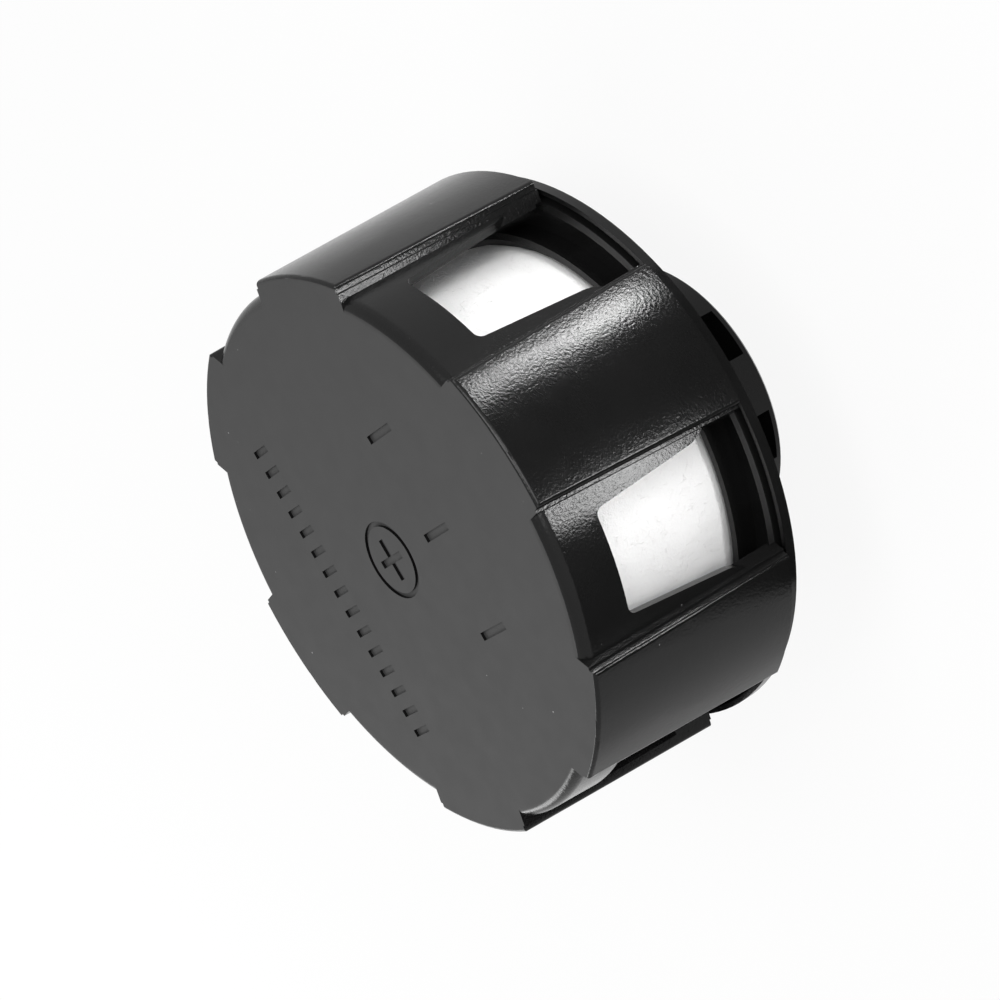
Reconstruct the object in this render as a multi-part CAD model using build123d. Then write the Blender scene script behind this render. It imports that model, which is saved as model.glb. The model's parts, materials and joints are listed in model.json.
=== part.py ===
from build123d import *
import os
from math import cos, radians, sin

# Hydraulic filler breather: a moulded cap with six grip lobes over a renewable felt
# element, closed below by a base moulding with a slotted, threaded spigot.
# Millimetres, +Z up, Z = 0 at the spigot's end, lobe number one on +X.
os.makedirs("parts", exist_ok=True)

# ---- levels along the axis -----------------------------------------------------------
cap_height = 50.0           # top face above the spigot's end
lobe_foot = 18.7            # lower end of the grip lobes
rim_top = 17.9              # outer rim of the base, upper face
rim_foot = 16.5             # outer rim of the base, lower face
seat_level = 17.1           # floor of the base, where the element is seated
plate_foot = 14.4           # underside of the base, where the tank gasket lies
relief_length = 2.2         # thread relief below the plate
thread_foot = 5.3           # lower end of the threaded length

# ---- cap -----------------------------------------------------------------------------
lobe_count = 6
panel_radius = 37.25        # sunk panels between the lobes, at the top face
lobe_reach = 1.75           # how far the lobes' pads stand out past the panels
lobe_flare = 1.0            # how much wider the pads are at their foot
lobe_half = 9.15            # half width of a lobe at the top face
lobe_half_flare = 1.15      # added half width at the foot
panel_flare = 1.25          # how much wider the panels are at the foot
panel_round = 1.7           # rounding from the top face into the panels
ledge_drop = 0.95           # step in the side walls of the lobes, below the pads
ledge_width = 0.35
pad_round = 0.6             # rounding of the pads' edges
panel_wall = 1.4
pad_wall = 1.7
side_wall = 1.7             # side walls of the lobes
roof_thickness = 2.5
window_top = 42.3           # upper edge of the side windows
window_half = 6.95          # half width at the upper edge
window_shoulder = 25.2      # where the windows start to open out
window_shoulder_half = 8.45
window_opening = 3.2        # height over which the windows open out to the panels' width
window_mouth_half = 11.5
window_corner = 1.1
window_shoulder_round = 5.0
lip_recess = 0.25           # clearance of the lobes round the base's lip
recess_top = 19.6

# ---- centre post and its screw -------------------------------------------------------
post_radius = 4.5
hub_level = 12.0            # the post's end stands here on the base's hub
hub_thickness = 3.5
screw_radius = 2.0
screw_length = 16.0
screw_head_radius = 3.9
screw_head_height = 2.4
screw_recess_depth = 1.2
screw_recess_width = 1.0
screw_recess_length = 4.4
washer_thickness = 0.8
screw_fit = 0.05            # thread-forming screw in its hole
loose_fit = 0.2             # pieces that slide over one another

# ---- base ----------------------------------------------------------------------------
rim_step = 0.07             # how far the rim stands out past the foot of the panels
rim_width = 0.67            # narrow outer band that carries the rim's face
rim_groove = 0.65           # dark groove between the rim's band and the lip
lip_top = 18.45
lip_width = 1.15
lip_slope = 1.0             # width of the lip's inner slope down to the trough
trough_width = 2.9          # trough between the lip's slope and the collar
collar_wall = 1.0
collar_top = 20.25
groove_floor = 16.95        # dark groove between lip and rim
plate_inset = 3.47          # how far the thick middle of the base stays inside the rim
spigot_wall = 2.8           # wall of the nose
thread_radius = 20.955      # G 1 1/4 male thread, major diameter 41.91
relief_depth = 1.505
nose_step = 1.755           # the plain pilot nose is this much smaller than the thread
nose_chamfer = 0.4
slot_count = 8
slot_angle = 21.0           # width of each air slot
slot_phase = -56.05         # first slot's middle
slot_foot = 1.05            # sill of the slots
slot_height = 3.7
spoke_count = 4
spoke_width = 2.2
lug_half = 8.0              # lugs that turn the base with the lobes
lug_reach = 0.75            # how far a lug stands out past the lip
lug_depth = 1.65            # how far a lug reaches in from the lip's outer face
lug_top = 20.1

# ---- element and small pieces ----------------------------------------------------------
felt_gap = 0.6              # between the felt and the inside of the collar
felt_inner = 22.1
cage_wall = 1.0
cage_rows = 3
cage_columns = 12
cage_window_angle = 19.0
cage_bar = 1.6              # height of the rings between the rows
end_plate = 1.3             # thickness of the element's end plates
end_spigot = 3.0            # height of the rings that centre the cage
seal_thickness = 0.8
seal_margin = 0.5           # how far the seal's edge stays outside the bore
element_gap = 1.7           # room for the foam pad under the roof
pad_radius = 14.0           # foam pad round the post
keeper_wall = 1.2
screen_margin = 1.4         # how far the screen reaches out past the bore
screen_thickness = 0.5
screen_slots = 16
screen_slot_width = 1.2
screen_slot_inner = 6.5
screen_slot_margin = 0.9    # between the slots' ends and the bore
gasket_width = 5.845
gasket_thickness = 2.0
splash_thickness = 0.7
splash_seat = 0.3           # bead below the splash plate
splash_margin = 0.7         # how far the splash plate reaches out past the bore
splash_rib_radius = 8.0
splash_rib_height = 1.6

roof_level = cap_height - roof_thickness
lobe_radius = panel_radius + lobe_reach
rim_radius = panel_radius + panel_flare + rim_step
lip_radius = rim_radius - rim_width - rim_groove   # raised lip just inside the rim
trough_outer = lip_radius - lip_width - lip_slope
collar_outer = trough_outer - trough_width          # collar round the element's foot
felt_outer = collar_outer - collar_wall - felt_gap
nose_radius = thread_radius - nose_step
relief_radius = thread_radius - relief_depth
bore_radius = nose_radius - spigot_wall
screen_radius = bore_radius + screen_margin
splash_radius = bore_radius + splash_margin
seal_inner = bore_radius + seal_margin
screen_slot_outer = bore_radius - screen_slot_margin
gasket_inner = thread_radius + loose_fit
gasket_outer = gasket_inner + gasket_width
window_mouth = window_shoulder - window_opening     # the windows are full width below this
far = 60.0                  # well outside everything


def disc(radius, low, high):
    """Upright cylinder between two levels."""
    return Pos(0, 0, (low + high) / 2) * Cylinder(radius, high - low)


def ring(outer, inner, low, high):
    return disc(outer, low, high) - disc(inner, low, high)


def drafted(low_radius, high_radius, low, high):
    """Upright cone frustum between two levels."""
    return Pos(0, 0, (low + high) / 2) * Cone(low_radius, high_radius, high - low)


def at_level(low_value, high_value, level):
    """Value of a drafted size at a level between the lobes' foot and the top face."""
    share = (level - lobe_foot) / (cap_height - lobe_foot)
    return low_value + (high_value - low_value) * share


def lobe_bars(half_top, low, high):
    """Drafted bars through the axis; their sides are the sides of the lobes."""
    sections = []
    for level in (low, high):
        half = at_level(half_top + lobe_half_flare, half_top, level)
        sections.append(Plane.XY.offset(level) * Rectangle(2 * far, 2 * half))
    bar = loft(sections)
    bars = bar
    for index in range(1, lobe_count // 2):
        bars += Rot(0, 0, index * 360 / lobe_count) * bar
    return bars


def around(shape, count, phase=0.0):
    """Copies of a shape turned about the axis."""
    return [Rot(0, 0, phase + index * 360 / count) * shape for index in range(count)]


def cap_cone(inset_top, low, high, radius=lobe_radius, flare=lobe_flare):
    """Cone that follows the pads, or the panels, at a given depth below them."""
    ends = [at_level(radius + flare, radius, level) - inset_top for level in (low, high)]
    return drafted(ends[0], ends[1], low, high)


def outer_form():
    """Panels, stepped side walls and pads, all drafted and rounded."""
    body = cap_cone(0, lobe_foot, cap_height, panel_radius, panel_flare)
    body = fillet(body.edges().group_by(Axis.Z)[-1], panel_round)
    body += cap_cone(ledge_drop, lobe_foot, cap_height) & lobe_bars(
        lobe_half + ledge_width, lobe_foot, cap_height)
    pads = cap_cone(0, lobe_foot, cap_height) & lobe_bars(lobe_half, lobe_foot, cap_height)
    on_pads = [
        edge for edge in pads.edges()
        if Vector(edge.center().X, edge.center().Y).length > lobe_radius - ledge_drop
        and edge.center().Z > lobe_foot + pad_round
    ]
    return body + fillet(on_pads, pad_round)


def inner_form():
    """Room inside the cap, with a pocket behind every lobe."""
    low = lobe_foot - 1
    room = cap_cone(panel_wall, low, roof_level, panel_radius, panel_flare)
    room += cap_cone(pad_wall, low, roof_level) & lobe_bars(lobe_half - side_wall, low, roof_level)
    return room + disc(lip_radius + lip_recess, low, recess_top)


def window_tools():
    """Cutters for the side windows, which open through the foot of the cap."""
    half = Polyline(
        (0, window_top),
        (window_half, window_top),
        (window_shoulder_half, window_shoulder),
        (window_mouth_half, window_mouth),
        (far / 3, window_mouth),
        (far / 3, lobe_foot - 1),
        (0, lobe_foot - 1),
        close=True,
    )
    face = make_face(half)
    upper = face.vertices().sort_by_distance((window_half, window_top, 0))[0]
    face = fillet(upper, window_corner)
    shoulder = face.vertices().sort_by_distance((window_shoulder_half, window_shoulder, 0))[0]
    face = fillet(shoulder, window_shoulder_round)
    face += mirror(face, Plane.YZ)
    upright = Plane(origin=(felt_outer, 0, 0), x_dir=(0, 1, 0), z_dir=(1, 0, 0))
    tool = extrude(upright * face, far - felt_outer)
    lobes = lobe_bars(lobe_half + ledge_width, lobe_foot - 2, cap_height)
    return [one - lobes for one in around(tool, lobe_count, 180 / lobe_count)]


def cap_shell():
    """Cap moulding: roof, lobes, windowed panels, centre post and pad keeper."""
    body = outer_form() - inner_form()
    for tool in window_tools():
        body -= tool
    body += disc(post_radius, hub_level, roof_level)
    keeper_inner = pad_radius + loose_fit
    body += ring(keeper_inner + keeper_wall, keeper_inner,
                 roof_level - element_gap + loose_fit, roof_level)
    return body - disc(screw_radius + screw_fit, hub_level, hub_level + screw_length)


def base_profile():
    """Half section of the base, from the bore outwards."""
    relief_foot = plate_foot - relief_length
    lead = thread_radius - nose_radius
    splash_room = splash_radius + 0.5 * loose_fit
    return Polyline(
        (bore_radius, slot_foot),
        (splash_room, slot_foot),
        (splash_room, splash_seat),
        (bore_radius + 2 * splash_seat, 0),
        (nose_radius - nose_chamfer, 0),
        (nose_radius, nose_chamfer),
        (nose_radius, thread_foot),
        (thread_radius, thread_foot + lead),
        (thread_radius, relief_foot),
        (relief_radius, relief_foot),
        (relief_radius, plate_foot),
        (rim_radius - plate_inset, plate_foot),
        (rim_radius - plate_inset, rim_foot),
        (rim_radius, rim_foot),
        (rim_radius, rim_top),
        (rim_radius - rim_width, rim_top),
        (rim_radius - rim_width, groove_floor),
        (lip_radius, groove_floor),
        (lip_radius, lip_top),
        (lip_radius - lip_width, lip_top),
        (trough_outer, seat_level),
        (collar_outer, seat_level),
        (collar_outer, collar_top),
        (collar_outer - collar_wall, collar_top),
        (collar_outer - collar_wall, seat_level),
        (screen_radius + loose_fit, seat_level),
        (screen_radius + loose_fit, seat_level - screen_thickness),
        (bore_radius, seat_level - screen_thickness),
        close=True,
    )


def slot_tool():
    """Wedge that cuts one air slot through the nose."""
    half = radians(slot_angle / 2)
    reach = nose_radius + 2
    corners = [(reach * cos(turn), reach * sin(turn)) for turn in (-half, half)]
    wedge = extrude(Plane.XY.offset(slot_foot) * make_face(Polyline((0, 0), *corners, close=True)),
                    slot_height)
    return wedge - disc(bore_radius - 1, slot_foot, slot_foot + slot_height)


def base_plate():
    """Base moulding: rim, lip, collar, threaded spigot, slots, hub and spokes."""
    body = revolve(Plane.XZ * make_face(base_profile()), Axis.Z)
    for tool in around(slot_tool(), slot_count, slot_phase):
        body -= tool
    hub_foot = hub_level - hub_thickness
    body += disc(post_radius, hub_foot, hub_level)
    spoke = Pos((bore_radius + 1) / 2, 0, hub_foot + hub_thickness / 2) * Box(
        bore_radius + 1, spoke_width, hub_thickness)
    for one in around(spoke, spoke_count, slot_phase):
        body += one
    lug = Pos(far / 2, 0, 0) * Box(far, 2 * lug_half, 2 * lug_top)
    lug &= ring(lip_radius + lug_reach, lip_radius - lug_depth, seat_level, lug_top)
    for one in around(lug, lobe_count):
        body += one
    return body - disc(screw_radius + loose_fit, hub_foot, hub_level)


# levels of the element, stacked from the seat upwards
ring_foot = seat_level + seal_thickness
felt_foot = ring_foot + end_plate
felt_top = roof_level - element_gap - end_plate
cage_outer = felt_inner - 0.5 * loose_fit
cage_inner = cage_outer - cage_wall
spigot_outer = cage_inner - 0.5 * loose_fit
spigot_inner = spigot_outer - cage_wall
end_radius = collar_outer - collar_wall - 2 * loose_fit


def filter_felt():
    return ring(felt_outer, felt_inner, felt_foot, felt_top)


def element_cage():
    """Moulded tube with rows of windows that carries the felt from inside."""
    tube = ring(cage_outer, cage_inner, felt_foot, felt_top)
    clear_low = felt_foot + end_spigot
    clear_high = felt_top - end_spigot
    pitch = (clear_high - clear_low) / cage_rows
    half = radians(cage_window_angle / 2)
    reach = felt_inner + 2
    corners = [(reach * cos(turn), reach * sin(turn)) for turn in (-half, half)]
    wedge = extrude(make_face(Polyline((0, 0), *corners, close=True)), pitch - cage_bar)
    for row in range(cage_rows):
        raised = Pos(0, 0, clear_low + row * pitch + cage_bar / 2) * wedge
        for one in around(raised, cage_columns):
            tube -= one
    return tube


def element_bottom_ring():
    """Lower end plate of the element, with a ring that centres the cage."""
    plate = ring(end_radius, spigot_inner, ring_foot, felt_foot)
    return plate + ring(spigot_outer, spigot_inner, felt_foot, felt_foot + end_spigot)


def element_top_plate():
    """Upper end plate of the element, closed but for the hole round the post."""
    plate = ring(felt_outer, post_radius + loose_fit, felt_top, felt_top + end_plate)
    return plate + ring(spigot_outer, spigot_inner, felt_top - end_spigot, felt_top)


def foam_pad():
    return ring(pad_radius, post_radius + loose_fit, felt_top + end_plate, roof_level)


def element_seal():
    return ring(end_radius, seal_inner, seat_level, ring_foot)


def throat_screen():
    """Slotted disc over the bore, round the centre post."""
    low = seat_level - screen_thickness
    plate = ring(screen_radius, post_radius + loose_fit, low, seat_level)
    middle = (screen_slot_inner + screen_slot_outer) / 2
    slot = Pos(middle, 0, low) * Box(
        screen_slot_outer - screen_slot_inner, screen_slot_width, 4 * screen_thickness)
    for one in around(slot, screen_slots):
        plate -= one
    return plate


def splash_plate():
    """Disc that closes the spigot's end below the slots, with a stiffening rib."""
    top = splash_seat + splash_thickness
    plate = disc(splash_radius, splash_seat, top)
    rib_inner = splash_rib_radius - cage_wall
    return plate + ring(splash_rib_radius, rib_inner, top, top + splash_rib_height)


def tank_gasket():
    return ring(gasket_outer, gasket_inner, plate_foot - gasket_thickness, plate_foot)


head_top = hub_level - hub_thickness - washer_thickness
head_foot = head_top - screw_head_height


def screw_washer():
    return ring(post_radius, screw_radius + loose_fit, head_top, head_top + washer_thickness)


def centre_screw():
    """Thread-forming pan-head screw with a cross recess."""
    head = disc(screw_head_radius, head_foot, head_top)
    head = chamfer(head.edges().group_by(Axis.Z)[0], screw_head_height / 3)
    shank = disc(screw_radius, head_top, hub_level + screw_length - screw_radius)
    shank = chamfer(shank.edges().group_by(Axis.Z)[-1], screw_radius / 2)
    arm = Pos(0, 0, head_foot) * Box(
        screw_recess_length, screw_recess_width, 2 * screw_recess_depth)
    return head + shank - arm - Rot(0, 0, 90) * arm


nodes = {
    "cap_shell": cap_shell,
    "base_plate": base_plate,
    "filter_felt": filter_felt,
    "element_cage": element_cage,
    "element_bottom_ring": element_bottom_ring,
    "element_top_plate": element_top_plate,
    "foam_pad": foam_pad,
    "element_seal": element_seal,
    "throat_screen": throat_screen,
    "splash_plate": splash_plate,
    "tank_gasket": tank_gasket,
    "screw_washer": screw_washer,
    "centre_screw": centre_screw,
}

for name, build in nodes.items():
    solid = build()
    solid.label = name
    export_step(solid, "parts/" + name + ".step")
    print(name, len(solid.solids()), round(solid.volume, 1))
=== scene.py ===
# %% [markdown]
# # A hydraulic filler breather, dressed for its portrait
# The breather is a moulded black cap with six grip lobes. Air passes through the windows
# between the lobes, through a white felt sleeve and down the threaded spigot. The CAD
# model gives every piece its size and place. This lesson gives the pieces their finish,
# cuts the thread, adds the fibres of the felt, and lights the part in a small studio.

# %% Load the frame
import json
from math import cos, pi, radians, sin

import bmesh
import bpy
from mathutils import Euler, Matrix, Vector, noise


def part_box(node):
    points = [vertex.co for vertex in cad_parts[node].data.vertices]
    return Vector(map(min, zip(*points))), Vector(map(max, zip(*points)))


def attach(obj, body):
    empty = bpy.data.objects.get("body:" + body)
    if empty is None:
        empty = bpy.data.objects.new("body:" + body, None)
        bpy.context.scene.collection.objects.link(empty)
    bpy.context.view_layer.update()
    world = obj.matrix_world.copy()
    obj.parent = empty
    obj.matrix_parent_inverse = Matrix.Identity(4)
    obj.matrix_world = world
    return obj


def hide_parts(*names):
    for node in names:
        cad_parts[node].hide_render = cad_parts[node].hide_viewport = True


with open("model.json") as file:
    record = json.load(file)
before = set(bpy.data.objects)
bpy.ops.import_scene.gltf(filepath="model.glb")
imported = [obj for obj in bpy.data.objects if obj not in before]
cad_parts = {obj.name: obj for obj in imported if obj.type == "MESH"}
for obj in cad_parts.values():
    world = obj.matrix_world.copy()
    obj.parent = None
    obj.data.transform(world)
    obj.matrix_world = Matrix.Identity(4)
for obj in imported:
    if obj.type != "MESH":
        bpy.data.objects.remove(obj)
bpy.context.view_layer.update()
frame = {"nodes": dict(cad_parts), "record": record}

MM = 0.001
print("CAD nodes:", len(frame["nodes"]))

# %% [markdown]
# ## Sizes
# The top face is measured from the cap and the felt from its own box. The thread's
# radius and place come from the mount that the record states; its pitch, depth and
# groove start are given numbers.

# %% Sizes that the pieces share
top_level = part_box("cap_shell")[1].z
felt_low, felt_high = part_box("filter_felt")
felt_radius = felt_high.x
felt_height = felt_high.z - felt_low.z
mounts = {mount["name"]: mount for mount in frame["record"]["mounts"]}
thread = mounts["tank_thread"]["dims"]
thread_radius = thread["r_mm"] * MM
thread_pitch = 2.309 * MM
thread_depth = 1.479 * MM
groove_reach = 4.7 * MM          # the groove starts this far below the thread's middle
groove_foot = mounts["tank_thread"]["pos_m"][2] - groove_reach
merge_distance = 0.002 * MM
moulding_crease = 28             # degrees: edges sharper than this stay sharp
felt_crease = 50
print("top face at", round(top_level / MM, 2), "mm, thread radius", round(thread_radius / MM, 2))

# %% [markdown]
# ## Writing shader maths as Python
# A material is a graph of nodes. Wrapping a socket in a small class lets a mask be written
# as `1 - mask * 0.5`: each operator adds its own Math node.


# %% A class for sockets and a class for trees
class Value:
    """A socket that carries a number."""

    def __init__(self, tree, socket):
        self.tree = tree
        self.socket = socket

    def maths(self, operation, *others):
        values = {index: value for index, value in enumerate((self, *others))}
        return self.tree.node("ShaderNodeMath", {"operation": operation}, values)

    def __add__(self, other):
        return self.maths("ADD", other)

    def __sub__(self, other):
        return self.maths("SUBTRACT", other)

    def __rsub__(self, other):
        return self.tree.node("ShaderNodeMath", {"operation": "SUBTRACT"}, {0: other, 1: self})

    def __mul__(self, other):
        return self.maths("MULTIPLY", other)

    __radd__ = __add__
    __rmul__ = __mul__

    def clamped(self):
        return self.tree.node("ShaderNodeClamp", {}, {"Value": self})


class Tree:
    """Adds nodes to a node tree and links them."""

    def __init__(self, tree):
        self.tree = tree

    def node(self, kind, settings, inputs, output=0):
        node = self.tree.nodes.new(kind)
        for name, value in settings.items():
            if name == "stops":
                for stop, (place, shade) in zip(node.color_ramp.elements, value):
                    stop.position = place
                    stop.color = (shade, shade, shade, 1)
            else:
                setattr(node, name, value)
        for name, value in inputs.items():
            if isinstance(value, Value):
                self.tree.links.new(value.socket, node.inputs[name])
            elif value is not None:
                node.inputs[name].default_value = value
        return Value(self, node.outputs[output])

    def place(self):
        return self.node("ShaderNodeTexCoord", {}, {}, "Object")

    def normal_up(self):
        normal = self.node("ShaderNodeTexCoord", {}, {}, "Normal")
        return self.node("ShaderNodeSeparateXYZ", {}, {0: normal}, 2)

    def height(self):
        return self.node("ShaderNodeSeparateXYZ", {}, {0: self.place()}, 2)

    def noise(self, size_mm, detail=2.0, roughness=0.5):
        """Cloudy noise whose lumps are about size_mm across."""
        inputs = {"Vector": self.place(), "Scale": 1 / (size_mm * MM), "Detail": detail,
                  "Roughness": roughness}
        return self.node("ShaderNodeTexNoise", {}, inputs)

    def cells(self, size_mm, feature="F1"):
        inputs = {"Vector": self.place(), "Scale": 1 / (size_mm * MM)}
        return self.node("ShaderNodeTexVoronoi", {"feature": feature}, inputs)

    def band(self, value, low, high):
        """0 below low, 1 above high, smooth in between."""
        settings = {"interpolation_type": "SMOOTHSTEP"}
        return self.node("ShaderNodeMapRange", settings, {0: value, 1: low, 2: high, 3: 0.0, 4: 1.0})

    def mix(self, share, first, second):
        settings = {"data_type": "RGBA"}
        return self.node("ShaderNodeMix", settings, {0: share, 6: first, 7: second}, 2)

    def bump(self, height, depth_mm, normal=None, strength=1.0):
        inputs = {"Height": height, "Distance": depth_mm * MM, "Strength": strength,
                  "Normal": normal}
        return self.node("ShaderNodeBump", {}, inputs)


def new_material(name, paint, **constants):
    """A Principled material: paint links what varies, constants set what doesn't."""
    material = bpy.data.materials.new(name)
    material.use_nodes = True
    shader = material.node_tree.nodes["Principled BSDF"]
    for socket, value in constants.items():
        shader.inputs[socket.replace("_", " ")].default_value = value
    tree = Tree(material.node_tree)
    for socket, value in paint(tree).items():
        if isinstance(value, Value):
            material.node_tree.links.new(value.socket, shader.inputs[socket])
        else:
            shader.inputs[socket].default_value = value
    return material


def grey(shade, warm=0.0):
    return (shade + warm, shade, shade - warm, 1)


# %% [markdown]
# ## Black moulded nylon
# The cap and the base come out of a mould. The top face is spark-eroded, so it is matt and
# a little greyer. The sides are smoother: their reflections are broken up by a faint
# orange-peel. One material does both, because the mould does: the surface's own upward
# normal and height say where the matt texture is. The specular level is chosen: 0.5
# is usual for plastic, and the lower value keeps the sides black in this bright studio.


# %% Moulded nylon
matt_shade = grey(0.040)
gloss_shade = grey(0.0045)
dust_shade = grey(0.55)
nylon_specular = 0.18


def moulded(tree, matt_face, peel_depth):
    if matt_face:
        height = tree.height()
        flat_top = tree.band(tree.normal_up(), 0.93, 0.99)
        matt = flat_top * tree.band(height, top_level - 0.8 * MM, top_level - 0.5 * MM)
    else:
        matt = 0.0
    broad = tree.noise(9.0)
    peel = tree.noise(0.38, 2.0, 0.55)
    grain = tree.noise(0.16, 2.0, 0.6)
    specks = tree.cells(2.3)
    dust = (1 - tree.band(specks, 0.035, 0.06)) * tree.band(tree.noise(1.1), 0.6, 0.66)
    body = tree.mix(matt, gloss_shade, matt_shade)
    clouded = tree.mix((broad - 0.5) * 0.12 + 0.06, body, grey(0.02))
    surface = tree.bump(peel * (1 - matt), peel_depth)
    surface = tree.bump(grain, 0.012, surface, 0.55)
    rough = 0.17 + matt * 0.55 + (tree.noise(3.0) - 0.5) * 0.08
    return {
        "Base Color": tree.mix(dust * 0.7, clouded, dust_shade),
        "Roughness": rough + dust * 0.3,
        "Normal": surface,
    }


cap_nylon = new_material("cap_nylon", lambda tree: moulded(tree, True, 0.03),
                         IOR=1.5, Specular_IOR_Level=nylon_specular)
base_nylon = new_material("base_nylon", lambda tree: moulded(tree, False, 0.01),
                          IOR=1.5, Specular_IOR_Level=nylon_specular)

# %% [markdown]
# ## Felt
# The sleeve is nonwoven polyester. Its surface is a soft mat of fibres, so it is fully
# rough, nearly white, and slightly cloudy where the mat is thicker.


# %% Felt
def felted(tree):
    fibres = tree.noise(0.22, 4.0, 0.65)
    cloud = tree.noise(5.0, 3.0)
    pits = tree.cells(0.5)
    shade = (cloud - 0.5) * 0.5 + (fibres - 0.5) * 0.4 + 0.5
    return {
        "Base Color": tree.mix(shade.clamped(), grey(0.80, 0.004), grey(0.9, 0.002)),
        "Normal": tree.bump(fibres + pits * 0.5, 0.12, None, 0.6),
    }


felt_white = new_material("felt_white", felted, Roughness=1.0, Sheen_Weight=0.15)


# %% [markdown]
# ## The pieces inside
# The seals are rubber, the pad is foam, the element's frame is plain plastic, and the
# screen, washer and screw are plated steel. They hardly show, so noise and cells on the
# object's own coordinates are enough. They go straight on the CAD nodes.

# %% Rubber, foam, plain element plastic and plated steel
def rubbery(tree):
    bloom = tree.noise(4.0, 3.0)
    fine = tree.noise(0.3)
    return {
        "Base Color": tree.mix(bloom, grey(0.014), grey(0.03)),
        "Roughness": 0.6 + (fine - 0.5) * 0.2,
        "Normal": tree.bump(fine, 0.03, None, 0.5),
    }


def foamed(tree):
    cells = tree.cells(0.35)
    return {
        "Base Color": tree.mix(cells.clamped(), grey(0.02), grey(0.07)),
        "Normal": tree.bump(cells, 0.15),
    }


def plain_moulded(tree):
    broad = tree.noise(6.0)
    fine = tree.noise(0.25)
    return {
        "Base Color": tree.mix(broad, grey(0.03), grey(0.05)),
        "Roughness": 0.42 + (fine - 0.5) * 0.15,
        "Normal": tree.bump(fine, 0.02, None, 0.5),
    }


def plated(tree):
    streaks = tree.noise(0.8, 4.0, 0.7)
    stain = tree.noise(3.5)
    return {
        "Base Color": tree.mix(stain, grey(0.52, 0.01), grey(0.63, -0.01)),
        "Roughness": 0.3 + (streaks - 0.5) * 0.25,
        "Normal": tree.bump(streaks, 0.01, None, 0.5),
    }


nitrile = new_material("nitrile", rubbery)
foam = new_material("foam", foamed, Roughness=0.9)
element_plastic = new_material("element_plastic", plain_moulded)
steel = new_material("plated_steel", plated, Metallic=1.0)

finishes = {
    "element_cage": element_plastic,
    "element_bottom_ring": element_plastic,
    "element_top_plate": element_plastic,
    "foam_pad": foam,
    "element_seal": nitrile,
    "throat_screen": steel,
    "splash_plate": base_nylon,
    "tank_gasket": nitrile,
    "screw_washer": steel,
    "centre_screw": steel,
}
for node, material in finishes.items():
    mesh = frame["nodes"][node].data
    mesh.materials.clear()
    mesh.materials.append(material)
print("CAD nodes finished in place:", len(finishes))

# %% [markdown]
# ## Geometry Nodes for whatever repeats
# Marks and fibres repeat. A small tree takes one shape, a number of copies and a
# step, and returns the row of copies as plain geometry.


# %% Mesh helpers
def make_object(name, mesh, material=None):
    made = bpy.data.objects.new(name, mesh)
    bpy.context.scene.collection.objects.link(made)
    if material:
        mesh.materials.clear()
        mesh.materials.append(material)
    return made


def mesh_from(name, points, faces):
    mesh = bpy.data.meshes.new(name)
    mesh.from_pydata([tuple(point) for point in points], [], faces)
    mesh.update()
    return mesh


def settle(mesh, sharp_angle=None):
    """Merges doubles, points the faces outwards and shades the mesh."""
    work = bmesh.new()
    work.from_mesh(mesh)
    bmesh.ops.remove_doubles(work, verts=work.verts, dist=merge_distance)
    bmesh.ops.recalc_face_normals(work, faces=work.faces)
    work.to_mesh(mesh)
    work.free()
    if sharp_angle:
        mesh.shade_smooth()
        mesh.set_sharp_from_angle(angle=radians(sharp_angle))
    return mesh


def weighted(made):
    """Lets large faces rule the shading, so that flat faces stay flat beside small ones."""
    modifier = made.modifiers.new("weighted_normals", "WEIGHTED_NORMAL")
    modifier.keep_sharp = True
    modifier.weight = 100
    return made


def copy_of_node(node, name):
    """The CAD node's surface as a new closed mesh, without the normals it came with."""
    source = frame["nodes"][node].data
    corners = [vertex.co for vertex in source.vertices]
    return settle(mesh_from(name, corners, [tuple(face.vertices) for face in source.polygons]))


def baked(carrier):
    """Plain mesh of an object with its modifiers applied; the object is removed."""
    graph = bpy.context.evaluated_depsgraph_get()
    mesh = bpy.data.meshes.new_from_object(carrier.evaluated_get(graph))
    bpy.data.objects.remove(carrier)
    return mesh


def cut(mesh, tool, name):
    """The mesh with the tool's volume taken away."""
    carrier = make_object(name, mesh)
    cutter = make_object(name + "_tool", tool)
    boolean = carrier.modifiers.new("cut", "BOOLEAN")
    boolean.operation = "DIFFERENCE"
    boolean.solver = "EXACT"
    boolean.object = cutter
    result = baked(carrier)
    bpy.data.objects.remove(cutter)
    return result


def prism(outline, low, high):
    """Closed upright prism over an outline of (x, y) points."""
    count = len(outline)
    points = [(x, y, level) for level in (low, high) for x, y in outline]
    sides = [(i, (i + 1) % count, count + (i + 1) % count, count + i) for i in range(count)]
    caps = [tuple(reversed(range(count))), tuple(range(count, 2 * count))]
    return points, sides + caps


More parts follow.
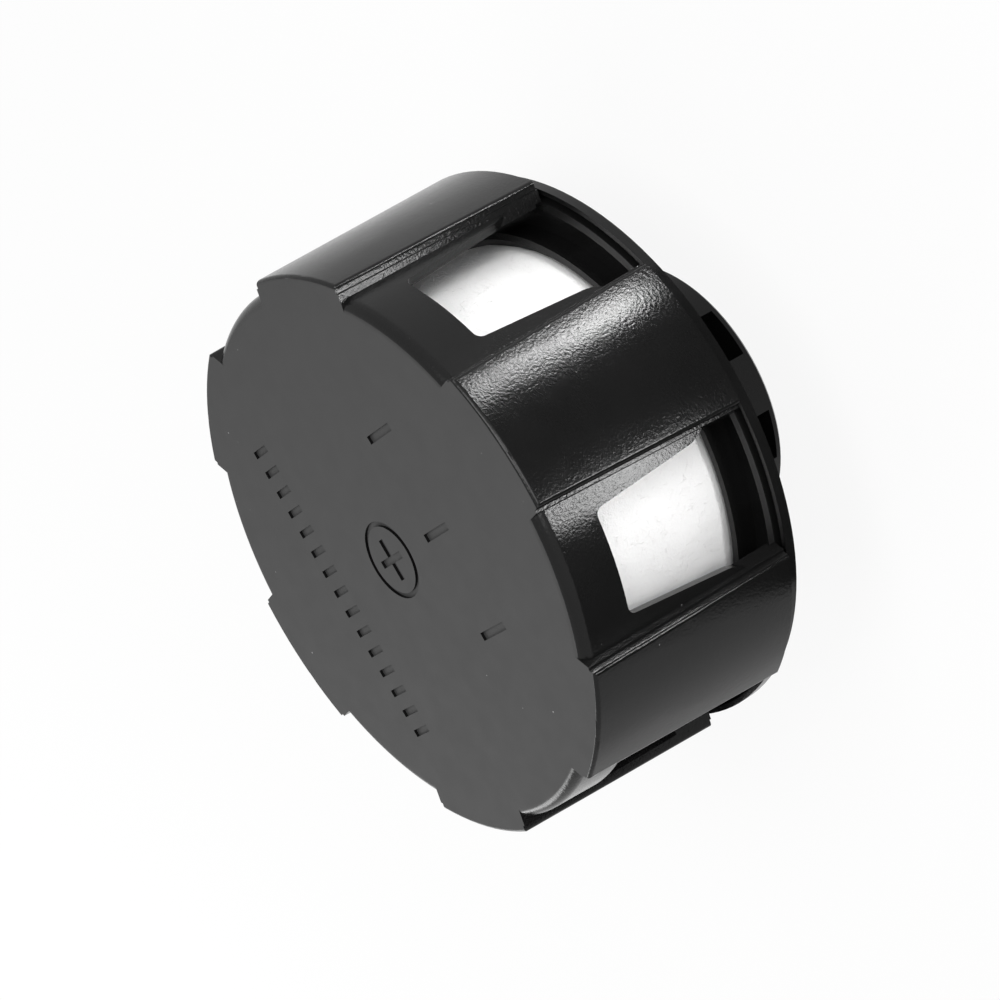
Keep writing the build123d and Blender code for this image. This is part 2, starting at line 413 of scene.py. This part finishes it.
# %% A tree that repeats one shape along a line
def row_tree():
    tree = bpy.data.node_groups.new("row_of_copies", "GeometryNodeTree")
    face = tree.interface
    face.new_socket("Geometry", in_out="INPUT", socket_type="NodeSocketGeometry")
    face.new_socket("Copies", in_out="INPUT", socket_type="NodeSocketInt")
    face.new_socket("Step", in_out="INPUT", socket_type="NodeSocketVector")
    face.new_socket("Material", in_out="INPUT", socket_type="NodeSocketMaterial")
    face.new_socket("Geometry", in_out="OUTPUT", socket_type="NodeSocketGeometry")
    make = tree.nodes.new
    link = tree.links.new
    given = make("NodeGroupInput")
    line = make("GeometryNodeMeshLine")
    spread = make("GeometryNodeInstanceOnPoints")
    real = make("GeometryNodeRealizeInstances")
    finish = make("GeometryNodeSetMaterial")
    result = make("NodeGroupOutput")
    link(given.outputs["Copies"], line.inputs["Count"])
    link(given.outputs["Step"], line.inputs["Offset"])
    link(line.outputs["Mesh"], spread.inputs["Points"])
    link(given.outputs["Geometry"], spread.inputs["Instance"])
    link(spread.outputs["Instances"], real.inputs["Geometry"])
    link(real.outputs["Geometry"], finish.inputs["Geometry"])
    link(given.outputs["Material"], finish.inputs["Material"])
    link(finish.outputs["Geometry"], result.inputs[0])
    return tree


def run_tree(tree, mesh, name, settings):
    """Runs a Geometry Nodes tree on a mesh and returns the plain result."""
    carrier = make_object(name, mesh)
    modifier = carrier.modifiers.new(name, "NODES")
    modifier.node_group = tree
    sockets = {
        item.name: item.identifier
        for item in tree.interface.items_tree
        if item.item_type == "SOCKET" and item.in_out == "INPUT"
    }
    for label, value in settings.items():
        modifier[sockets[label]] = value
    carrier.update_tag()
    bpy.context.view_layer.update()
    return baked(carrier)


rows = row_tree()

# %% [markdown]
# ## The marks on the top face
# The mould leaves shallow sunk marks on the face. Here they are generic: a row of
# graduations, three plain bars and a ring with a cross in it. The marks are cut into a copy
# of the cap, which then stands for the CAD node.

# %% Outlines of the marks
mark_depth = 0.4 * MM


def turned(outline, angle, centre):
    """An outline turned and moved in the plane of the face."""
    return [
        (centre[0] + x * cos(angle) - y * sin(angle), centre[1] + x * sin(angle) + y * cos(angle))
        for x, y in outline
    ]


def bar(length, width):
    return [(-length / 2, -width / 2), (length / 2, -width / 2), (length / 2, width / 2),
            (-length / 2, width / 2)]


def cross(reach, width):
    """A plain cross with square ends."""
    half = width / 2
    quarter = [(reach, -half), (reach, half), (half, half)]
    return [point for step in range(4)
            for point in turned(quarter, step * pi / 2, (0.0, 0.0))]


def ring_prism(outer, inner, centre, low, high, steps=48):
    """Closed flat ring, as the points and faces of a mesh."""
    turns = [2 * pi * i / steps for i in range(steps)]
    points = [
        (centre[0] + radius * cos(turn), centre[1] + radius * sin(turn), level)
        for radius, level in ((outer, low), (outer, high), (inner, high), (inner, low))
        for turn in turns
    ]
    faces = [
        (side * steps + i, side * steps + (i + 1) % steps,
         (side + 1) % 4 * steps + (i + 1) % steps, (side + 1) % 4 * steps + i)
        for side in range(4)
        for i in range(steps)
    ]
    return points, faces


def joined(name, solids):
    """One mesh from several lists of points and faces."""
    points, faces = [], []
    for solid_points, solid_faces in solids:
        start = len(points)
        points += solid_points
        faces += [tuple(start + index for index in face) for face in solid_faces]
    return settle(mesh_from(name, points, faces))


# %% Cut the marks
mark_low = top_level - mark_depth
mark_high = top_level + mark_depth
reading = radians(-158)          # the way the marks read across the face
along = Vector((cos(reading), sin(reading)))
across = Vector((-along.y, along.x))


def on_face(forward, sideways):
    """Point of the face: forward along the marks' reading line, sideways across it."""
    place = along * forward * MM + across * sideways * MM
    return (place.x, place.y)


tick = prism(turned(bar(3.9 * MM, 1.0 * MM), reading + pi / 2, on_face(-21.0, -17.0)),
             mark_low, mark_high)
tick_count = 15
tick_step = 3.0 * MM
tick_row = run_tree(
    rows, mesh_from("tick", *tick), "graduations",
    {"Copies": tick_count, "Step": (along.x * tick_step, along.y * tick_step, 0.0)})
symbols = [
    ring_prism(5.4 * MM, 4.7 * MM, on_face(0, 0), mark_low, mark_high),
    prism(turned(cross(2.9 * MM, 1.0 * MM), reading, on_face(0, 0)), mark_low, mark_high),
]
for forward in (-14.0, 0.0, 14.0):
    symbols.append(prism(turned(bar(6.4 * MM, 1.1 * MM), reading + pi / 2,
                                on_face(forward, 14.0)), mark_low, mark_high))
cap_mesh = copy_of_node("cap_shell", "cap")
cap_mesh = cut(cap_mesh, tick_row, "cap")
cap_mesh = cut(cap_mesh, joined("symbols", symbols), "cap")
settle(cap_mesh, moulding_crease)
cap = weighted(make_object("cap_moulding", cap_mesh, cap_nylon))
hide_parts("cap_shell")
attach(cap, "root")
print("cap faces:", len(cap_mesh.polygons))

# %% [markdown]
# ## The thread
# The spigot carries a parallel pipe thread. A spiral curve and a triangular profile give the
# groove as one swept solid, and the groove is cut from the plain cylinder of the CAD node.
# The spiral starts in the lead-in cone and ends in the relief, as a cut thread does.


# %% A swept groove
def groove_tree():
    tree = bpy.data.node_groups.new("thread_groove", "GeometryNodeTree")
    face = tree.interface
    face.new_socket("Geometry", in_out="INPUT", socket_type="NodeSocketGeometry")
    for label, kind in (("Turns", "NodeSocketFloat"), ("Radius", "NodeSocketFloat"),
                        ("Height", "NodeSocketFloat"), ("Steps", "NodeSocketInt"),
                        ("Material", "NodeSocketMaterial")):
        face.new_socket(label, in_out="INPUT", socket_type=kind)
    face.new_socket("Geometry", in_out="OUTPUT", socket_type="NodeSocketGeometry")
    make = tree.nodes.new
    link = tree.links.new
    given = make("NodeGroupInput")
    outline = make("GeometryNodeMeshToCurve")
    spiral = make("GeometryNodeCurveSpiral")
    upright = make("GeometryNodeSetCurveNormal")
    upright.mode = "Z_UP"
    sweep = make("GeometryNodeCurveToMesh")
    real = make("GeometryNodeRealizeInstances")
    finish = make("GeometryNodeSetMaterial")
    result = make("NodeGroupOutput")
    link(given.outputs["Geometry"], outline.inputs[0])
    link(given.outputs["Turns"], spiral.inputs["Rotations"])
    link(given.outputs["Radius"], spiral.inputs["Start Radius"])
    link(given.outputs["Radius"], spiral.inputs["End Radius"])
    link(given.outputs["Height"], spiral.inputs["Height"])
    link(given.outputs["Steps"], spiral.inputs["Resolution"])
    link(spiral.outputs[0], upright.inputs[0])
    link(upright.outputs[0], sweep.inputs["Curve"])
    link(outline.outputs[0], sweep.inputs["Profile Curve"])
    sweep.inputs["Fill Caps"].default_value = True
    link(sweep.outputs[0], real.inputs[0])
    link(real.outputs[0], finish.inputs["Geometry"])
    link(given.outputs["Material"], finish.inputs["Material"])
    link(finish.outputs[0], result.inputs[0])
    return tree


mouth = 0.5 * thread_pitch
floor_width = 0.08 * thread_pitch
outside = 0.4 * MM
flank = [(-outside, -mouth * 0.98), (-outside, mouth * 0.98), (thread_depth, floor_width),
         (thread_depth, -floor_width)]
profile = bpy.data.meshes.new("flank")
profile.from_pydata([(x, y, 0) for x, y in flank], [(0, 1), (1, 2), (2, 3), (3, 0)], [])
turns = 3.5
groove = run_tree(groove_tree(), profile, "groove",
                  {"Turns": turns, "Radius": thread_radius, "Height": turns * thread_pitch,
                   "Steps": 72})
lows = [min(v.co[i] for v in groove.vertices) for i in range(3)]
highs = [max(v.co[i] for v in groove.vertices) for i in range(3)]
print("groove box", [round(x / MM, 2) for x in lows], [round(x / MM, 2) for x in highs])
for vertex in groove.vertices:
    vertex.co.z += groove_foot
settle(groove)
base_mesh = cut(copy_of_node("base_plate", "base"), groove, "base")
settle(base_mesh, moulding_crease)
base = weighted(make_object("base_moulding", base_mesh, base_nylon))
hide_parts("base_plate")
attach(base, "root")
print("base faces:", len(base_mesh.polygons))

# %% [markdown]
# ## The felt sleeve
# Felt is soft, so its outer face is never a true cylinder and its cut edges are ragged.
# The sleeve is a fine grid, pushed in and out a little, and Geometry Nodes scatter short
# fibres over it.

# %% Sleeve
around_steps = 240
up_steps = 44
felt_thickness = 8.5 * MM
felt_inner = felt_radius - felt_thickness
ring_levels = [felt_low.z + felt_height * i / up_steps for i in range(up_steps + 1)]


def felt_face(turn, level):
    """Radius of the soft outer face at a turn and level."""
    place = Vector((cos(turn), sin(turn), level / felt_radius))
    lumps = noise.noise(place * 4.0) * 0.16 + noise.noise(place * 17.0) * 0.06
    edge = min(level - felt_low.z, felt_high.z - level) / (1.2 * MM)
    rounding = 0.35 * (1 - min(edge, 1.0)) ** 2
    return felt_radius - (0.22 - lumps + rounding) * MM


turns_round = [2 * pi * i / around_steps for i in range(around_steps)]
felt_points = [
    (felt_face(turn, level) * cos(turn), felt_face(turn, level) * sin(turn), level)
    for level in ring_levels
    for turn in turns_round
]
felt_points += [
    (felt_inner * cos(turn), felt_inner * sin(turn), level)
    for level in (felt_high.z, felt_low.z)
    for turn in turns_round
]
rings = len(ring_levels) + 2
felt_faces = [
    (ring * around_steps + i, ring * around_steps + (i + 1) % around_steps,
     (ring + 1) % rings * around_steps + (i + 1) % around_steps, (ring + 1) % rings * around_steps + i)
    for ring in range(rings)
    for i in range(around_steps)
]
felt_mesh = settle(mesh_from("felt", felt_points, felt_faces), felt_crease)
felt = make_object("felt_sleeve", felt_mesh, felt_white)
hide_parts("filter_felt")
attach(felt, "root")
print("felt faces:", len(felt_mesh.polygons))


# %% [markdown]
# ## Loose fibres
# Single fibres stand off a felt. Hair could draw them, but the export wants plain meshes,
# so Geometry Nodes scatter one thin bent tube over the sleeve, with a fixed seed, and turn
# and scale each copy at random.

# %% Fibres that stand off the felt
def fibre_tree():
    tree = bpy.data.node_groups.new("felt_fibres", "GeometryNodeTree")
    face = tree.interface
    face.new_socket("Geometry", in_out="INPUT", socket_type="NodeSocketGeometry")
    for label, kind in (("Density", "NodeSocketFloat"), ("Thickness", "NodeSocketFloat"),
                        ("Bend", "NodeSocketVector"), ("Tip", "NodeSocketVector"),
                        ("Seed", "NodeSocketInt"), ("Material", "NodeSocketMaterial")):
        face.new_socket(label, in_out="INPUT", socket_type=kind)
    face.new_socket("Geometry", in_out="OUTPUT", socket_type="NodeSocketGeometry")
    make = tree.nodes.new
    link = tree.links.new
    given = make("NodeGroupInput")
    scatter = make("GeometryNodeDistributePointsOnFaces")
    hair = make("GeometryNodeCurveQuadraticBezier")
    hair.inputs["Resolution"].default_value = 3
    hair.inputs["Start"].default_value = (0, 0, -0.0001)
    girth = make("GeometryNodeCurvePrimitiveCircle")
    girth.inputs["Resolution"].default_value = 3
    sweep = make("GeometryNodeCurveToMesh")
    plant = make("GeometryNodeInstanceOnPoints")
    length = make("FunctionNodeRandomValue")
    length.data_type = "FLOAT"
    length.inputs[2].default_value, length.inputs[3].default_value = 0.5, 1.3
    heading = make("FunctionNodeRandomValue")
    heading.data_type = "FLOAT_VECTOR"
    heading.inputs[0].default_value = (-0.3, -0.3, 0)
    heading.inputs[1].default_value = (0.3, 0.3, 2 * pi)
    turn = make("GeometryNodeRotateInstances")
    real = make("GeometryNodeRealizeInstances")
    finish = make("GeometryNodeSetMaterial")
    result = make("NodeGroupOutput")
    link(given.outputs["Geometry"], scatter.inputs["Mesh"])
    link(given.outputs["Density"], scatter.inputs["Density"])
    link(given.outputs["Seed"], scatter.inputs["Seed"])
    link(given.outputs["Bend"], hair.inputs["Middle"])
    link(given.outputs["Tip"], hair.inputs["End"])
    link(given.outputs["Thickness"], girth.inputs["Radius"])
    link(hair.outputs[0], sweep.inputs["Curve"])
    link(girth.outputs[0], sweep.inputs["Profile Curve"])
    link(scatter.outputs["Points"], plant.inputs["Points"])
    link(scatter.outputs["Rotation"], plant.inputs["Rotation"])
    link(sweep.outputs[0], plant.inputs["Instance"])
    link(length.outputs[1], plant.inputs["Scale"])
    link(plant.outputs[0], turn.inputs["Instances"])
    link(heading.outputs[0], turn.inputs["Rotation"])
    link(turn.outputs[0], real.inputs["Geometry"])
    link(real.outputs[0], finish.inputs["Geometry"])
    link(given.outputs["Material"], finish.inputs["Material"])
    link(finish.outputs[0], result.inputs[0])
    return tree


rings_below, rings_above = 6, 2     # rings of the sleeve's ends that carry no fibres
skin_rings = range(rings_below, up_steps - rings_above)
skin = mesh_from("skin", felt_points[:around_steps * (up_steps + 1)],
                 [felt_faces[ring * around_steps + i] for ring in skin_rings
                  for i in range(around_steps)])
fibre_mesh = run_tree(fibre_tree(), skin, "fibres", {
    "Density": 1.0e6, "Thickness": 0.016 * MM, "Bend": (0.35 * MM, 0.0, 0.4 * MM),
    "Tip": (1.0 * MM, 0.15 * MM, 0.2 * MM), "Seed": 7, "Material": felt_white})
fibres = make_object("felt_fibres", fibre_mesh)
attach(fibres, "root")
print("fibre faces:", len(fibre_mesh.polygons))

# %% [markdown]
# ## Camera, floor and lights
# The camera looks down on the cap's side, rolled so that the top face is at the lower left.
# The floor is pale. Rays from the camera, and rays mirrored by the part, see it nearly
# white, and the light that it throws back on the part is that of a plain pale surface.
# The world is made the same way.

# %% Camera
camera_data = bpy.data.cameras.new("camera")
camera_data.lens = 123.7
camera_data.sensor_width = 36
camera_data.clip_start = 0.01
camera = bpy.data.objects.new("camera", camera_data)
camera.location = (0.13803, -0.36058, 0.24839)
camera.rotation_euler = Euler((radians(-41.3245), radians(49.3966), radians(-118.2235)), "XYZ")
bpy.context.scene.collection.objects.link(camera)
bpy.context.scene.camera = camera

# %% Rays that look at the studio
def looking(tree):
    """1 for camera, mirrored and transmitted rays, 0 for the rest."""
    kinds = [tree.node("ShaderNodeLightPath", {}, {}, kind)
             for kind in ("Is Camera Ray", "Is Glossy Ray", "Is Transmission Ray")]
    return (kinds[0] + kinds[1] + kinds[2]).clamped()


# %% Floor
floor_half = 3.0
floor_white = 0.9
floor_mesh = mesh_from("floor", [(-floor_half, -floor_half, 0), (floor_half, -floor_half, 0),
                                 (floor_half, floor_half, 0), (-floor_half, floor_half, 0)],
                       [(0, 1, 2, 3)])
floor_material = bpy.data.materials.new("pale_floor")
floor_material.use_nodes = True
floor_tree = Tree(floor_material.node_tree)
floor_material.node_tree.nodes.remove(floor_material.node_tree.nodes["Principled BSDF"])
plain = floor_tree.node("ShaderNodeBsdfDiffuse", {}, {"Color": grey(0.8)})
white = floor_tree.node("ShaderNodeEmission", {}, {"Color": grey(1.0), "Strength": 1.0})
share = looking(floor_tree) * floor_white
blend = floor_tree.node("ShaderNodeMixShader", {}, {0: share, 1: plain, 2: white})
floor_material.node_tree.links.new(
    blend.socket, floor_material.node_tree.nodes["Material Output"].inputs["Surface"])
floor = make_object("floor", floor_mesh, floor_material)


# %% Lights
def area_light(name, place_mm, aim_mm, size_mm, power, height_mm=None):
    """A rectangular lamp aimed at a point of the part; the camera doesn't see it."""
    data = bpy.data.lights.new(name, "AREA")
    data.shape = "RECTANGLE"
    data.size = size_mm * MM
    data.size_y = (height_mm or size_mm) * MM
    data.energy = power
    lamp = bpy.data.objects.new(name, data)
    lamp.location = Vector(place_mm) * MM
    aim = Vector(aim_mm) * MM - lamp.location
    lamp.rotation_euler = aim.to_track_quat("-Z", "Y").to_euler()
    lamp.visible_camera = False
    bpy.context.scene.collection.objects.link(lamp)
    return lamp


area_light("key", (230, -200, 480), (0, 0, 25), 280, 1.7)
area_light("front", (190, -400, 235), (0, -10, 30), 260, 1.05)
area_light("rear", (-300, 330, 260), (0, 0, 30), 300, 1.4)


def floor_strip(name, place_mm, heading_deg, length_mm, width_mm, power):
    """A lamp lying on the floor and facing up: the sides of the cap mirror it."""
    lamp = area_light(name, place_mm, (place_mm[0], place_mm[1], 100), length_mm, power, width_mm)
    lamp.rotation_euler = (pi, 0, radians(heading_deg))
    return lamp


floor_strip("strip_lobe", (85, -65, 2.5), -30, 66, 6.5, 0.10)
floor_strip("strip_panel", (16, -116, 2.5), -85, 62, 13, 0.10)

# %% [markdown]
# ## A black card
# A studio keeps a glossy black side black by giving it something black to mirror.
# A card lies on the floor in front of the part. Only mirrored rays meet it, so the floor
# stays pale in every view and the light on the felt doesn't change.

# %% Black card
card_steps = 24
card_start, card_sweep = -36, 96    # degrees round the part
card_reach = (52, 240)              # inner and outer edge, mm from the axis
card_level = 1.0 * MM
card_turns = [radians(card_start - card_sweep * i / card_steps) for i in range(card_steps + 1)]
card_points = [(reach * MM * cos(turn), reach * MM * sin(turn), card_level)
               for reach in card_reach for turn in card_turns]
card_faces = [(i, i + 1, i + card_steps + 2, i + card_steps + 1) for i in range(card_steps)]
card_black = new_material("card_black", lambda tree: {}, Roughness=1.0,
                          Base_Color=grey(0.02), Specular_IOR_Level=0.0)
card = make_object("black_card", mesh_from("card", card_points, card_faces), card_black)
card.visible_camera = False
card.visible_diffuse = False
card.visible_shadow = False
card.visible_transmission = False


# %% World
world_light = 0.3
world = bpy.data.worlds.new("studio")
bpy.context.scene.world = world
world.use_nodes = True
backdrop = world.node_tree.nodes["Background"]
backdrop.inputs["Color"].default_value = grey(1.0)
world_tree = Tree(world.node_tree)
strength = world_light + looking(world_tree) * (1 - world_light)
world.node_tree.links.new(strength.socket, backdrop.inputs["Strength"])
bpy.context.scene.view_settings.view_transform = "Standard"
